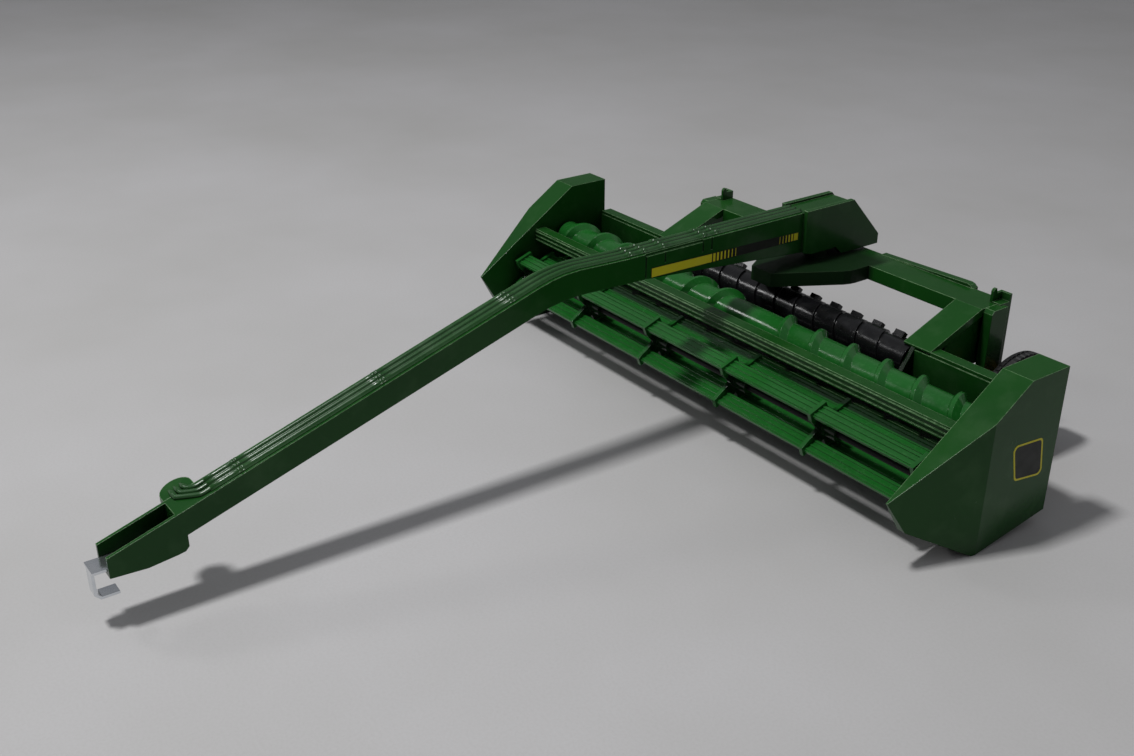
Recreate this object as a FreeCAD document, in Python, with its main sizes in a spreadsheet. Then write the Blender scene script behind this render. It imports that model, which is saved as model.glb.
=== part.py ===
import FreeCAD, Part
import math
import os
import Sketcher

# Die-cast toy pull-type windrower.  Millimetres, +Z up, the tongue points to -Y,
# X = 0 is the centre line and Z = 0 is the table top.

SIZES = {
    # header and end shields
    "header_inner": 267.0,
    "shield_thick": 13.3,
    "shield_tip_y": 50.55,
    "shield_tip_z": 29.6,
    "shield_tip_thick": 0.6,
    "shield_fold_y": 88.95,
    "shield_top_front_y": 107.05,
    "shield_top_z": 66.9,
    "shield_rear_y": 128.35,
    "shield_rear_bottom_z": 6.0,
    "shield_skid_y": 87.25,
    "shield_chin_y": 59.05,
    "shield_chin_z": 15.7,
    "shield_corner": 3.0,
    # cross bar over the reel
    "bar_front_y": 84.35,
    "bar_depth": 5.6,
    "bar_top_z": 48.4,
    "bar_height": 6.2,
    "bar_rib": 0.5,
    "bar_rib_height": 0.7,
    # reel
    "reel_y": 79.25,
    "reel_z": 26.9,
    "reel_shaft_r": 1.7,
    "reel_hub_r": 3.4,
    "reel_hub_length": 8.5,
    "reel_slat_r": 10.3,
    "reel_slat_width": 7.2,
    "reel_slat_thick": 1.3,
    "reel_slat_rib": 0.4,
    "reel_slat_rib_width": 0.7,
    "reel_slat_half": 130.5,
    "reel_lobe": 1.0,
    "reel_spider_thick": 1.8,
    "reel_spider_pitch": 51.4,
    # auger
    "auger_y": 103.55,
    "auger_z": 41.95,
    "auger_tube_r": 7.0,
    "auger_flight_r": 9.6,
    "auger_pitch": 18.1,
    "auger_flight_thick": 1.5,
    "auger_flight_root": 6.6,
    "auger_left_start": 19.8,
    "auger_left_turns": 6.0,
    "auger_right_start": -1.6,
    "auger_right_turns": 7.1,
    "auger_tube_half": 131.5,
    # journals shared by reel and auger
    "journal_r": 1.5,
    "journal_depth": 4.0,
    "journal_clear": 0.08,
    "press_clear": 0.03,
    "end_clear": 0.6,
    # conditioning rolls
    "roll_shaft_r": 2.0,
    "roll_half": 76.0,
    "roll_core_r": 6.8,
    "roll_ridge_r": 7.8,
    "roll_ridge_pitch": 12.25,
    "roll_ridge_width": 11.2,
    "roll_lug_width": 4.9,
    "roll_lug_height": 1.8,
    "roll_lug_depth": 2.6,
    "roll_lug_first": -57.85,
    "upper_roll_y": 128.45,
    "upper_roll_z": 42.15,
    "lower_roll_y": 132.95,
    "lower_roll_z": 22.6,
    "cheek_x": 76.5,
    "cheek_thick": 2.0,
    "cheek_rear_y": 141.75,
    "cheek_shoulder_z": 40.0,
    # pan, cutterbar, rear tube
    "pan_thick": 1.6,
    "pan_trough_r": 12.6,
    "pan_foot_y": 91.75,
    "pan_foot_z": 8.0,
    "pan_lip_y": 118.15,
    "knife_front_y": 90.35,
    "knife_thick": 2.0,
    "guard_length": 3.6,
    "guard_width": 3.0,
    "guard_pitch": 12.0,
    "tube_y": 113.15,
    "tube_size": 7.0,
    "tube_z": 13.0,
    # rear beam and back walls
    "beam_front_y": 126.75,
    "beam_rear_y": 132.35,
    "beam_top_z": 50.0,
    "beam_flange": 1.6,
    "beam_web": 2.0,
    "beam_web_bottom_z": 33.0,
    # main frame
    "arm_front_y": 156.75,
    "arm_rear_y": 172.75,
    "arm_top_z": 61.5,
    "arm_depth": 6.5,
    "elbow_inner_x": 72.5,
    "elbow_outer_x": 86.3,
    "elbow_plate": 3.4,
    "elbow_foot": 0.8,
    "leg_inner_x": 83.0,
    "leg_outer_x": 88.5,
    "leg_front_y": 165.75,
    "leg_rear_y": 172.75,
    "leg_bottom_z": 14.0,
    "leg_top_z": 65.4,
    "leg_prong_z": 67.6,
    "leg_prong_depth": 2.6,
    "leg_face_x": 90.8,
    "leg_face_front_y": 157.75,
    "leg_face_rear_y": 167.75,
    "leg_face_low_z": 35.0,
    "web_thick": 2.0,
    "web_front_y": 137.25,
    "web_bottom_z": 36.0,
    "lip_start_x": 18.0,
    "lip_end_x": 69.5,
    "lip_depth": 2.6,
    "lip_rise": 1.6,
    "nose_front_y": 114.25,
    "nose_front_half": 6.2,
    "nose_rear_half": 24.5,
    "nose_shoulder_y": 146.0,
    # tongue pivot
    "pivot_y": 147.75,
    "boss_r": 5.2,
    "boss_top_z": 65.2,
    "rivet_r": 2.5,
    "rivet_head_r": 4.5,
    "rivet_head": 1.4,
    "rivet_clear": 0.08,
    "pivot_gap": 0.3,
    # wheels
    "wheel_y": 166.25,
    "wheel_r": 22.4,
    "wheel_inner_x": 97.5,
    "wheel_width": 15.0,
    "rim_r": 13.0,
    "axle_r": 2.2,
    "axle_clear": 0.08,
    "axle_boss_r": 5.0,
    "axle_cap_r": 4.0,
    "axle_cap": 1.5,
    # tongue
    "tongue_half": 5.9,
    "tongue_wall": 1.6,
    "tongue_tip_y": -183.45,
    "tongue_tip_top_z": 28.2,
    "tongue_tip_low_z": 20.4,
    "fork_root_y": -158.85,
    "fork_root_z": 35.9,
    "fork_heel_y": -155.75,
    "fork_heel_z": 21.8,
    "fork_wall": 1.4,
    "fork_floor": 2.2,
    "bend_y": -9.0,
    "bend_top_z": 83.5,
    "seam": 0.5,
    "seam_short": 5.4,
    "panel_start_y": 43.25,
    "panel_split_y": 53.35,
    "panel_end_y": 73.75,
    "bend_low_y": -6.0,
    "bend_low_z": 74.0,
    "level_y": 10.0,
    "tongue_top_z": 85.8,
    "level_low_z": 76.0,
    "tongue_rear_low_z": 67.4,
    "tongue_rear_y": 161.75,
    "ear_front_y": 132.25,
    "ear_half": 8.0,
    "ear_top_z": 86.8,
    "ear_tail_y": 180.15,
    "ear_tail_z": 67.2,
    "ear_low_z": 62.4,
    # hose mouldings, knob and hook
    "hose_base": 0.5,
    "hose_rise": 1.0,
    "clip_first_y": -133.6,
    "clip_pitch": 56.6,
    "clip_width": 2.2,
    "clip_rise": 0.3,
    "hose_width": 1.9,
    "hose_pitch": 3.1,
    "hose_half": 4.6,
    "knob_r": 5.7,
    "knob_x": -9.0,
    "knob_y": -153.2,
    "knob_low_z": 33.6,
    "hook_thick": 1.0,
    "hook_half": 4.3,
    "hook_tail_half": 2.6,
    "hook_front_y": -188.65,
    "hook_low_z": 11.6,
}


class Size:
    """A length that keeps its number and its sheet expression together."""

    def __init__(self, value, text):
        self.value = float(value)
        self.text = text

    def __add__(self, other):
        other = size(other)
        return Size(self.value + other.value, f"({self.text} + {other.text})")

    __radd__ = __add__

    def __sub__(self, other):
        other = size(other)
        return Size(self.value - other.value, f"({self.text} - {other.text})")

    def __rsub__(self, other):
        return size(other) - self

    def __mul__(self, factor):
        return Size(self.value * factor, f"({self.text} * {factor:.6f})")

    __rmul__ = __mul__

    def __neg__(self):
        return self * -1.0


def size(value):
    if isinstance(value, Size):
        return value
    return Size(value, f"{float(value):.6f}")


class Sheet:
    """Sizes on a spreadsheet, read back as Size objects by name."""

    def __init__(self, doc, values):
        self.sheet = doc.addObject("Spreadsheet::Sheet", "Dims")
        self.values = values
        for row, (name, number) in enumerate(values.items(), start=1):
            self.sheet.set(f"A{row}", name)
            self.sheet.set(f"B{row}", str(number))
            self.sheet.setAlias(f"B{row}", name)

    def __getattr__(self, name):
        return Size(self.values[name], f"Dims.{name}")


doc = FreeCAD.newDocument("Windrower")
d = Sheet(doc, SIZES)
doc.recompute()
NODES = []


def keep(obj):
    NODES.append(obj)
    return obj


# ---- sketch based solids -------------------------------------------------

PLANES = {"X": "YZ_Plane", "Y": "XZ_Plane", "Z": "XY_Plane"}


def new_body(label):
    body = doc.addObject("PartDesign::Body", label)
    body.Label = label
    return body


def new_sketch(body, name, axis, start, shift=(0.0, 0.0)):
    sketch = body.newObject("Sketcher::SketchObject", name)
    for plane in body.Origin.OriginFeatures:
        if plane.Role == PLANES[axis]:
            sketch.AttachmentSupport = [(plane, "")]
    sketch.MapMode = "FlatFace"
    offset = -size(start) if axis == "Y" else size(start)
    sketch.setExpression("AttachmentOffset.Base.z", offset.text)
    if size(shift[0]).value or size(shift[1]).value:
        sketch.setExpression("AttachmentOffset.Base.x", size(shift[0]).text)
        sketch.setExpression("AttachmentOffset.Base.y", size(shift[1]).text)
    return sketch


def place_corner(sketch, line, name, point):
    for kind, part in (("DistanceX", point[0]), ("DistanceY", point[1])):
        rule = Sketcher.Constraint(kind, -1, 1, line, 1, part.value)
        index = sketch.addConstraint(rule)
        label = name + kind[-1]
        sketch.renameConstraint(index, label)
        sketch.setExpression("Constraints." + label, part.text)


def draw_outline(sketch, points, prefix="p"):
    points = [(size(a), size(b)) for a, b in points]
    corners = [FreeCAD.Vector(a.value, b.value, 0) for a, b in points]
    first = sketch.GeometryCount
    count = len(points)
    for i in range(count):
        sketch.addGeometry(Part.LineSegment(corners[i], corners[(i + 1) % count]))
    for i in range(count):
        rule = Sketcher.Constraint("Coincident", first + i, 2, first + (i + 1) % count, 1)
        sketch.addConstraint(rule)
    for i in range(count):
        place_corner(sketch, first + i, f"{prefix}{i}", points[i])


def draw_circle(sketch, centre, radius, prefix="c"):
    spot = FreeCAD.Vector(size(centre[0]).value, size(centre[1]).value, 0)
    circle = sketch.addGeometry(Part.Circle(spot, FreeCAD.Vector(0, 0, 1), size(radius).value))
    rules = (("DistanceX", (-1, 1, circle, 3), centre[0], "X"),
             ("DistanceY", (-1, 1, circle, 3), centre[1], "Y"),
             ("Radius", (circle,), radius, "R"))
    for kind, target, part, tail in rules:
        index = sketch.addConstraint(Sketcher.Constraint(kind, *target, size(part).value))
        sketch.renameConstraint(index, prefix + tail)
        sketch.setExpression("Constraints." + prefix + tail, size(part).text)


def add_pad(body, name, axis, points, start, length, holes=()):
    """Pad an outline along +axis from start over length."""
    sketch = new_sketch(body, name + "_sketch", axis, start)
    draw_outline(sketch, points)
    for number, (centre, radius) in enumerate(holes):
        draw_circle(sketch, centre, radius, f"h{number}")
    pad = body.newObject("PartDesign::Pad", name)
    pad.Profile = sketch
    pad.Reversed = axis == "Y"
    pad.setExpression("Length", size(length).text)
    body.Tip = pad
    return pad


def add_pocket(body, name, axis, points, start, length, holes=()):
    """Cut an outline (or only circles) along +axis from start over length."""
    sketch = new_sketch(body, name + "_sketch", axis, start)
    if points:
        draw_outline(sketch, points)
    for number, (centre, radius) in enumerate(holes):
        draw_circle(sketch, centre, radius, f"h{number}")
    pocket = body.newObject("PartDesign::Pocket", name)
    pocket.Profile = sketch
    pocket.Reversed = axis != "Y"
    pocket.setExpression("Length", size(length).text)
    body.Tip = pocket
    return pocket


def rect(a0, a1, b0, b1):
    return [(a0, b0), (a1, b0), (a1, b1), (a0, b1)]


def turned(label, outline, centre_y, centre_z):
    """Solid of revolution about an axis parallel to X; outline is (x, radius)."""
    body = new_body(label)
    sketch = new_sketch(body, label + "_sketch", "Y", centre_y, (0.0, centre_z))
    draw_outline(sketch, outline)
    turn = body.newObject("PartDesign::Revolution", label + "_turn")
    turn.Profile = sketch
    turn.ReferenceAxis = (sketch, ["H_Axis"])
    turn.Angle = 360.0
    body.Tip = turn
    return body


def padded(label, axis, points, start, length, holes=()):
    body = new_body(label)
    add_pad(body, label + "_pad", axis, points, start, length, holes)
    return body


def fuse(label, parts):
    union = doc.addObject("Part::MultiFuse", label)
    union.Label = label
    union.Shapes = parts
    union.Refine = True
    return union


def cut(label, base, tool):
    result = doc.addObject("Part::Cut", label)
    result.Label = label
    result.Base = base
    result.Tool = tool
    result.Refine = True
    return result


# ---- header ---------------------------------------------------------------

INNER = d.header_inner * 0.5
OUTER = INNER + d.shield_thick


def side_range(side, near, far):
    """Start and length along X of a slab between |x| = near and |x| = far."""
    near = size(near)
    far = size(far)
    start = near if side > 0 else -far
    return start, far - near


def shield(side, label):
    outline = [
        (d.shield_tip_y, d.shield_tip_z),
        (d.shield_top_front_y, d.shield_top_z),
        (d.shield_rear_y, d.shield_top_z),
        (d.shield_rear_y, d.shield_rear_bottom_z),
        (d.shield_skid_y, 0.0),
        (d.shield_chin_y, d.shield_chin_z),
    ]
    body = new_body(label)
    start, length = side_range(side, INNER, OUTER)
    add_pad(body, label + "_slab", "X", outline, start, length)
    wedge = [
        (side * OUTER, d.shield_fold_y),
        (side * (INNER + d.shield_tip_thick), d.shield_tip_y - 0.5),
        (side * (OUTER + 1.0), d.shield_tip_y - 0.5),
        (side * (OUTER + 1.0), d.shield_fold_y),
    ]
    add_pocket(body, label + "_taper", "Z", wedge, -1.0, d.shield_top_z + 4.0)
    bore = d.journal_r + d.journal_clear
    holes = [((d.reel_y, d.reel_z), bore), ((d.auger_y, d.auger_z), bore)]
    start, length = side_range(side, INNER, INNER + d.journal_depth)
    add_pocket(body, label + "_journals", "X", [], start, length, holes)
    return keep(body)


def cross_bar():
    rear = d.bar_front_y + d.bar_depth
    low = d.bar_top_z - d.bar_height
    body = padded("cross_bar", "X", rect(d.bar_front_y, rear, low, d.bar_top_z),
                  -INNER, d.header_inner)
    for number in range(3):
        z0 = low + 0.4 + number * 2.1
        rib = rect(d.bar_front_y - d.bar_rib, d.bar_front_y, z0, z0 + d.bar_rib_height)
        add_pad(body, f"cross_bar_rib{number}", "X", rib, -INNER, d.header_inner)
    return keep(body)


def arc_point(centre_y, centre_z, radius, degrees):
    angle = math.radians(degrees)
    return (centre_y + radius * math.cos(angle), centre_z + radius * math.sin(angle))


def strip(points, thick):
    """Closed outline of a bent sheet; thick is laid off to the right of the path."""
    count = len(points)
    normals = []
    for i in range(count - 1):
        run = points[i + 1][0].value - points[i][0].value
        rise = points[i + 1][1].value - points[i][1].value
        length = math.hypot(run, rise)
        normals.append((rise / length, -run / length))
    other = []
    for i in range(count):
        before = normals[max(i - 1, 0)]
        after = normals[min(i, count - 2)]
        mid = (before[0] + after[0], before[1] + after[1])
        scale = 2.0 / (mid[0] ** 2 + mid[1] ** 2)
        other.append((points[i][0] + thick * (mid[0] * scale), points[i][1] + thick * (mid[1] * scale)))
    return points + other[::-1]


def pan_lip_height():
    return arc_point(d.auger_y, d.auger_z, d.pan_trough_r, 310)[1]


def feed_pan():
    path = [(d.pan_foot_y, d.pan_foot_z), (d.pan_foot_y + 4.6, d.pan_foot_z + 7.0)]
    for degrees in (248, 262, 278, 294, 310):
        path.append(arc_point(d.auger_y, d.auger_z, d.pan_trough_r, degrees))
    path.append((d.pan_lip_y, pan_lip_height()))
    return keep(padded("feed_pan", "X", strip(path, d.pan_thick), -INNER, d.header_inner))


def cutterbar():
    top = d.pan_foot_z
    low = top - d.knife_thick
    body = padded("cutterbar", "X", rect(d.knife_front_y, d.pan_foot_y, low, top),
                  -INNER, d.header_inner)
    first = -10.5
    tip_y = d.knife_front_y - d.guard_length
    half = d.guard_width * 0.5
    sketch = new_sketch(body, "guard_sketch", "Z", low)
    for number in range(22):
        centre = d.guard_pitch * (first + number)
        tooth = [(centre - half, d.knife_front_y), (centre, tip_y), (centre + half, d.knife_front_y)]
        draw_outline(sketch, tooth, f"g{number}_")
    pad = body.newObject("PartDesign::Pad", "guards")
    pad.Profile = sketch
    pad.setExpression("Length", (d.knife_thick - 0.4).text)
    body.Tip = pad
    return keep(body)


def rear_tube():
    outline = rect(d.tube_y, d.tube_y + d.tube_size, d.tube_z, d.tube_z + d.tube_size)
    body = padded("rear_tube", "X", outline, -INNER, d.header_inner)
    return keep(body)


def cheek(side, label):
    front = d.tube_y + d.tube_size
    bore = d.journal_r + d.journal_clear
    top = d.beam_top_z - d.elbow_foot
    outline = [
        (front, d.tube_z),
        (d.cheek_rear_y, d.tube_z),
        (d.cheek_rear_y, d.cheek_shoulder_z),
        (d.beam_rear_y, top),
        (d.beam_front_y, top),
        (front, d.cheek_shoulder_z),
    ]
    holes = [((d.upper_roll_y, d.upper_roll_z), bore), ((d.lower_roll_y, d.lower_roll_z), bore)]
    start, length = side_range(side, d.cheek_x, d.cheek_x + d.cheek_thick)
    return keep(padded(label, "X", outline, start, length, holes))


WEB_FRONT = d.shield_rear_y - d.beam_web


def rear_beam(side, label):
    """Flange from the elbow out to the shield, on a web that starts at the roll cheek."""
    under = d.beam_top_z - d.beam_flange
    flange = rect(d.beam_front_y, d.beam_rear_y, under, d.beam_top_z)
    web = rect(WEB_FRONT, d.shield_rear_y, d.beam_web_bottom_z, under)
    body = new_body(label)
    start, length = side_range(side, d.elbow_outer_x, INNER)
    add_pad(body, label + "_flange", "X", flange, start, length)
    start, length = side_range(side, d.cheek_x + d.cheek_thick, INNER)
    add_pad(body, label + "_web", "X", web, start, length)
    return keep(body)


def back_wall(side, label):
    lip_z = pan_lip_height()
    outline = [
        (d.pan_lip_y, lip_z - d.pan_thick),
        (WEB_FRONT, d.beam_web_bottom_z),
        (WEB_FRONT, d.beam_web_bottom_z + d.pan_thick),
        (d.pan_lip_y, lip_z),
    ]
    start, length = side_range(side, d.cheek_x + d.cheek_thick, INNER)
    return keep(padded(label, "X", outline, start, length))


# ---- main frame -------------------------------------------------------------

def elbow_outline(rear_y):
    under = d.arm_top_z - d.elbow_plate
    return [
        (d.beam_front_y, d.beam_top_z),
        (d.arm_front_y, d.arm_top_z),
        (rear_y, d.arm_top_z),
        (rear_y, under),
        (d.arm_front_y + 1.0, under),
        (d.beam_rear_y, d.beam_top_z - d.elbow_foot),
        (d.beam_front_y, d.beam_top_z - d.elbow_foot),
    ]


def elbow(side, label):
    body = new_body(label)
    start, length = side_range(side, d.elbow_inner_x, d.leg_inner_x)
    add_pad(body, label + "_plate", "X", elbow_outline(d.arm_rear_y), start, length)
    start, length = side_range(side, d.leg_inner_x, d.elbow_outer_x)
    add_pad(body, label + "_edge", "X", elbow_outline(d.leg_front_y), start, length)
    web = [
        (d.web_front_y, d.web_bottom_z),
        (d.leg_front_y, d.web_bottom_z),
        (d.leg_front_y, d.arm_top_z - 1.0),
        (d.arm_front_y, d.arm_top_z - 1.0),
        (d.web_front_y, d.beam_top_z + 1.6),
    ]
    start, length = side_range(side, d.leg_inner_x, d.leg_inner_x + d.web_thick)
    add_pad(body, label + "_web", "X", web, start, length)
    return body


def nose_outline():
    """Plan of the swing plate: narrow under the tongue, wide and round-shouldered at the arms."""
    wide = d.nose_rear_half
    shoulder = d.nose_shoulder_y
    right = [
        (d.nose_front_half, d.nose_front_y),
        (wide - 1.6, shoulder - 3.2),
        (wide - 0.4, shoulder),
        (wide, shoulder + 3.0),
        (wide, d.arm_front_y + 6.0),
    ]
    left = [(-x, y) for x, y in right[::-1]]
    return right + left


def lip_outline(side, low):
    """Ridge along the rear of an arm that rises outwards and drops in a round end."""
    top = d.arm_top_z + d.lip_rise
    end = d.lip_end_x
    outline = [
        (d.lip_start_x, low),
        (end, low),
        (end, d.arm_top_z),
        (end - 0.5, top - 1.3),
        (end - 1.6, top - 0.4),
        (end - 3.2, top),
        (d.lip_start_x, d.arm_top_z + 0.1),
    ]
    return [(side * x, z) for x, z in outline]


def main_frame():
    low = d.arm_top_z - d.arm_depth
    arms = padded("base_arms", "Z", rect(-d.elbow_inner_x, d.elbow_inner_x, d.arm_front_y, d.arm_rear_y),
                  low, d.arm_depth)
    nose = padded("base_nose", "Z", nose_outline(), low, d.arm_depth)
    boss = new_body("base_boss")
    sketch = new_sketch(boss, "boss_sketch", "Z", d.arm_top_z - 1.0)
    draw_circle(sketch, (0.0, d.pivot_y), d.boss_r)
    pad = boss.newObject("PartDesign::Pad", "boss_pad")
    pad.Profile = sketch
    pad.setExpression("Length", (d.boss_top_z - d.arm_top_z + 1.0).text)
    boss.Tip = pad
    parts = [arms, nose, boss, elbow(1, "base_elbow_left"), elbow(-1, "base_elbow_right")]
    parts.append(padded("base_lip", "Y", lip_outline(1, low), d.arm_rear_y - 1.0,
                        d.lip_depth + 1.0))
    whole = fuse("base_frame", parts)
    bore = doc.addObject("Part::Cylinder", "base_bore")
    bore.setExpression("Radius", (d.rivet_r + d.rivet_clear).text)
    bore.setExpression("Height", (d.boss_top_z - (d.arm_top_z - d.arm_depth) + 2.0).text)
    bore.setExpression("Placement.Base.y", d.pivot_y.text)
    bore.setExpression("Placement.Base.z", ((d.arm_top_z - d.arm_depth) - 1.0).text)
    return keep(cut("main_frame", whole, bore))


def wheel_leg(side, label):
    body = new_body(label)
    top = d.arm_top_z + 0.6
    wall = d.leg_prong_depth * 0.5
    start, length = side_range(side, d.leg_inner_x, d.leg_outer_x)
    post = rect(d.leg_front_y, d.leg_rear_y, d.leg_bottom_z, top)
    add_pad(body, label + "_post", "X", post, start, length)
    start, length = side_range(side, d.leg_inner_x, d.leg_inner_x + wall)
    prong = [
        (d.leg_front_y, top),
        (d.leg_rear_y, top),
        (d.leg_rear_y, d.leg_top_z),
        (d.leg_front_y + d.leg_prong_depth, d.leg_top_z),
        (d.leg_front_y + d.leg_prong_depth - 0.6, d.leg_prong_z),
        (d.leg_front_y + 0.8, d.leg_prong_z),
        (d.leg_front_y, d.leg_prong_z - 1.0),
    ]
    add_pad(body, label + "_prong", "X", prong, start, length)
    start, length = side_range(side, d.leg_inner_x, d.leg_outer_x)
    back = rect(d.leg_rear_y - wall, d.leg_rear_y, top, d.leg_top_z)
    add_pad(body, label + "_back", "X", back, start, length)
    start, length = side_range(side, d.elbow_outer_x, d.leg_face_x)
    face = [
        (d.leg_face_front_y, d.leg_face_low_z),
        (d.leg_face_rear_y, d.leg_face_low_z - 6.0),
        (d.leg_face_rear_y, d.arm_top_z),
        (d.leg_face_front_y + 1.5, d.arm_top_z),
        (d.leg_face_front_y, d.arm_top_z - 1.5),
    ]
    add_pad(body, label + "_face", "X", face, start, length)
    start, length = side_range(side, d.leg_outer_x, d.wheel_inner_x - 1.2)
    sketch = new_sketch(body, label + "_boss_sketch", "X", start)
    draw_circle(sketch, (d.wheel_y, d.wheel_r), d.axle_boss_r)
    pad = body.newObject("PartDesign::Pad", label + "_boss")
    pad.Profile = sketch
    pad.setExpression("Length", length.text)
    body.Tip = pad
    return keep(body)


# ---- turning pieces -----------------------------------------------------------

def both_ways(outline):
    """Mirror a half outline of (x, radius) points about x = 0."""
    return [(-x, r) for x, r in outline[::-1]] + outline


def journal_shaft(label, half_body, radius, centre_y, centre_z, face_x, depth):
    """Shaft with a thinner journal at each end that reaches into a blind bore."""
    tip = face_x + depth - d.end_clear
    half = [(half_body, radius), (half_body, d.journal_r), (tip, d.journal_r), (tip, 0.0)]
    return turned(label, both_ways(half), centre_y, centre_z)


REEL_ANGLES = [213 - 90 * number for number in range(4)]
SLAT_LEAN = 20


def slat_point(degrees, along, up):
    """Point on a board: along its width and up from its middle plane. All boards lean alike."""
    out = math.radians(degrees)
    lean = math.radians(SLAT_LEAN)
    middle_y = d.reel_y + d.reel_slat_r * math.cos(out)
    middle_z = d.reel_z + d.reel_slat_r * math.sin(out)
    return (middle_y + along * math.cos(lean) - up * math.sin(lean),
            middle_z + along * math.sin(lean) + up * math.cos(lean))


def slat_outline(degrees):
    """Board with three fine ribs along its upper face."""
    half = d.reel_slat_width * 0.5
    face = d.reel_slat_thick * 0.5
    rib = d.reel_slat_rib_width * 0.5
    crown = face + d.reel_slat_rib
    points = [slat_point(degrees, -half, -face), slat_point(degrees, -half, face)]
    for number in (-1, 0, 1):
        middle = half * (number * 0.7)
        points.append(slat_point(degrees, middle - rib, face))
        points.append(slat_point(degrees, middle - rib, crown))
        points.append(slat_point(degrees, middle + rib, crown))
        points.append(slat_point(degrees, middle + rib, face))
    points.append(slat_point(degrees, half, face))
    points.append(slat_point(degrees, half, -face))
    return points


def turn_way(origin, first, second):
    """Positive if the path origin, first, second turns left."""
    run = (first[0].value - origin[0].value, first[1].value - origin[1].value)
    rise = (second[0].value - origin[0].value, second[1].value - origin[1].value)
    return run[0] * rise[1] - run[1] * rise[0]


def wrap(points):
    """Convex outline around a set of points."""
    ordered = sorted(points, key=lambda p: (p[0].value, p[1].value))
    chains = []
    for run in (ordered, ordered[::-1]):
        chain = []
        for point in run:
            while len(chain) > 1 and turn_way(chain[-2], chain[-1], point) <= 1e-6:
                chain.pop()
            chain.append(point)
        chains.append(chain[:-1])
    return chains[0] + chains[1]


def arm_outline(degrees):
    """Spider arm: runs from the hub and wraps round the whole section of one board."""
    along = d.reel_slat_width * 0.5 + d.reel_lobe
    up = d.reel_slat_thick * 0.5 + d.reel_slat_rib + d.reel_lobe
    corners = [slat_point(degrees, a, u) for a in (along, -along) for u in (up, -up)]
    for turn in (-90, 90):
        corners.append(arc_point(d.reel_y, d.reel_z, d.reel_hub_r, degrees + turn))
    return wrap(corners)


def spider(number, slats):
    """Plate with four arms and a hub that stands out to one side, slotted for the boards."""
    label = f"reel_spider_{number + 1}"
    bore = [((d.reel_y, d.reel_z), d.reel_shaft_r + d.press_clear)]
    start = d.reel_spider_pitch * (number - 2.5) - d.reel_spider_thick * 0.5
    hub_end = d.reel_hub_length if number < 5 else INNER - d.end_clear * 2.0 - start
    hub = new_body("base_hub_" + label)
    circle = new_sketch(hub, "hub_sketch", "X", start)
    draw_circle(circle, (d.reel_y, d.reel_z), d.reel_hub_r)
    pad = hub.newObject("PartDesign::Pad", "hub_pad")
    pad.Profile = circle
    pad.setExpression("Length", size(hub_end).text)
    hub.Tip = pad
    parts = [hub]
    for degrees in REEL_ANGLES:
        parts.append(padded(f"base_arm{degrees}_{label}", "X", arm_outline(degrees), start,
                            d.reel_spider_thick))
    plate = fuse("base_plate_" + label, parts)
    rod = new_body("base_rod_" + label)
    add_hole_rod(rod, start - 1.0, size(hub_end) + 2.0, bore[0])
    result = cut("base_bored_" + label, plate, rod)
    for count, slat in enumerate(slats, start=1):
        name = label if count == len(slats) else f"base_cut{count}_{label}"
        result = cut(name, result, slat)
    return keep(result)


def add_hole_rod(body, start, length, hole):
    sketch = new_sketch(body, "rod_sketch", "X", start)
    draw_circle(sketch, hole[0], hole[1])
    pad = body.newObject("PartDesign::Pad", "rod_pad")
    pad.Profile = sketch
    pad.setExpression("Length", size(length).text)
    body.Tip = pad


def reel():
    keep(journal_shaft("reel_shaft", INNER - d.end_clear, d.reel_shaft_r, d.reel_y, d.reel_z,
                       INNER, d.journal_depth))
    slats = []
    for number, degrees in enumerate(REEL_ANGLES, start=1):
        slat = padded(f"reel_slat_{number}", "X", slat_outline(degrees),
                      -d.reel_slat_half, d.reel_slat_half * 2.0)
        slats.append(keep(slat))
    for number in range(6):
        spider(number, slats)


def build_band(label, start_x, way, turns, pitch, inner, outer, root, crest, centre, left,
               phase=0):
    """Helical band of trapezoidal section wound on a core of radius inner."""
    spine = Part.makeHelix(pitch.value, pitch.value * turns, inner.value, 0, left)
    low = inner.value - 0.3
    half_root = root.value * 0.5
    half_crest = crest.value * 0.5
    section = [(low, -half_root), (outer.value, -half_crest), (outer.value, half_crest),
               (low, half_root), (low, -half_root)]
    wire = Part.makePolygon([FreeCAD.Vector(x, 0, z) for x, z in section])
    band = doc.addObject("Part::Feature", label)
    band.Shape = Part.Wire(spine.Edges).makePipeShell([wire], True, True)
    spin = FreeCAD.Rotation(FreeCAD.Vector(0, 1, 0), 90 * way)
    if way < 0:
        spin = spin.multiply(FreeCAD.Rotation(FreeCAD.Vector(0, 0, 1), 180))
    spin = spin.multiply(FreeCAD.Rotation(FreeCAD.Vector(0, 0, 1), phase))
    spot = FreeCAD.Vector(size(start_x).value, centre[0].value, centre[1].value)
    band.Placement = FreeCAD.Placement(spot, spin)
    return band


def auger():
    tube = turned("base_auger_tube", both_ways([
        (d.auger_tube_half, d.auger_tube_r), (d.auger_tube_half, d.journal_r),
        (INNER + d.journal_depth - d.end_clear, d.journal_r),
        (INNER + d.journal_depth - d.end_clear, 0.0)]), d.auger_y, d.auger_z)
    parts = [tube]
    for way, name in ((1, "left"), (-1, "right")):
        parts.append(build_band("base_flight_" + name, SIZES[f"auger_{name}_start"], way,
                                SIZES[f"auger_{name}_turns"], d.auger_pitch,
                                d.auger_tube_r, d.auger_flight_r, d.auger_flight_root,
                                d.auger_flight_thick, (d.auger_y, d.auger_z), way < 0))
    return keep(fuse("feed_auger", parts))


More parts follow.
